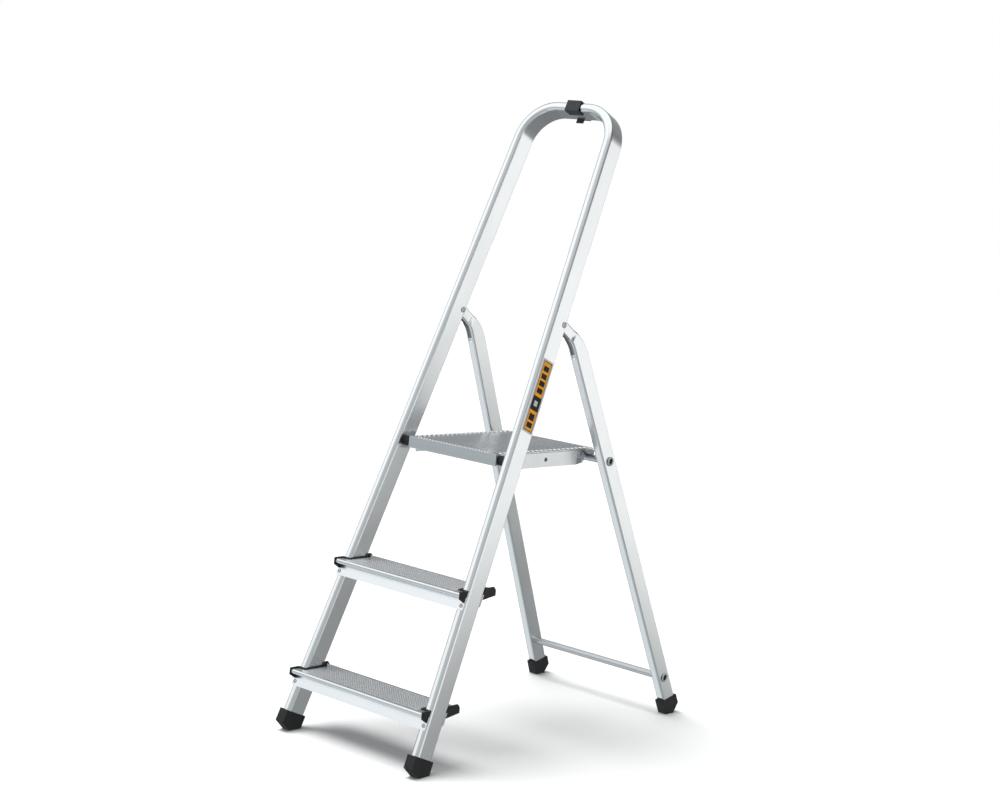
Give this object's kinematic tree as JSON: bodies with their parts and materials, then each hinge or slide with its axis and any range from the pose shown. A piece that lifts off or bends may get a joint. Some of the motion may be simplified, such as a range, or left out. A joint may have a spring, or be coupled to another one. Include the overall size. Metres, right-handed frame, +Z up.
{
  "type": "step ladder",
  "caption": "Folding household step-ladder with two treads, a hinged standing platform and a bow handrail above it, on splayed tube legs with moulded feet.",
  "frame": {"origin": "on the floor, in the middle of the footprint of the opened ladder", "axes": "+Z up; +Y from the climber at the front towards the rear legs; +X to the climber's right"},
  "size_m": [0.408, 0.9043, 1.3616],
  "materials": {
    "frame_aluminium": "satin",
    "tread_aluminium": "ribbed satin",
    "platform_aluminium": "embossed satin",
    "tube_steel": "zinc plated",
    "rivet_steel": "satin",
    "black_plastic": "fine texture",
    "black_rubber": "matt",
    "label_film": "printed film with no lettering"
  },
  "bodies": {
    "front": {"front_frame": "frame_aluminium", "lower_step": "tread_aluminium", "middle_step": "tread_aluminium", "lower_step_cap_right": "black_plastic", "lower_step_cap_left": "black_plastic", "middle_step_cap_right": "black_plastic", "middle_step_cap_left": "black_plastic", "lower_step_rivets": "rivet_steel", "middle_step_rivets": "rivet_steel", "front_foot_right": "black_rubber", "front_foot_left": "black_rubber", "bow_clip": "black_plastic", "rail_label": "label_film", "leg_pivot_rivet_right": "rivet_steel", "leg_pivot_rivet_left": "rivet_steel", "platform_pivot_pin_right": "rivet_steel", "platform_pivot_pin_left": "rivet_steel", "platform_bushing_right": "black_plastic", "platform_bushing_left": "black_plastic"},
    "rear": {"rear_leg_right": "frame_aluminium", "rear_leg_left": "frame_aluminium", "platform_support_tube": "tube_steel", "brace_tube": "tube_steel", "rear_foot_right": "black_rubber", "rear_foot_left": "black_rubber"},
    "platform": {"platform_deck": "platform_aluminium", "platform_side_right": "platform_aluminium", "platform_side_left": "platform_aluminium", "platform_hook_right": "tube_steel", "platform_hook_left": "tube_steel", "platform_side_rivets": "rivet_steel"}
  },
  "joints": [
    {"name": "rear_frame_fold", "type": "hinge", "parent": "front", "child": "rear", "pos_m": [0, -0.05603, 0.89042], "axis": [-1, 0, 0], "range_deg": [0, 45]},
    {"name": "platform_fold", "type": "hinge", "parent": "front", "child": "platform", "pos_m": [0, -0.18658, 0.6071], "axis": [1, 0, 0], "range_deg": [0, 65.5]}
  ],
  "couplings": [
    {"joint": "platform_fold", "follows": "rear_frame_fold", "ratio": 1.45}
  ]
}
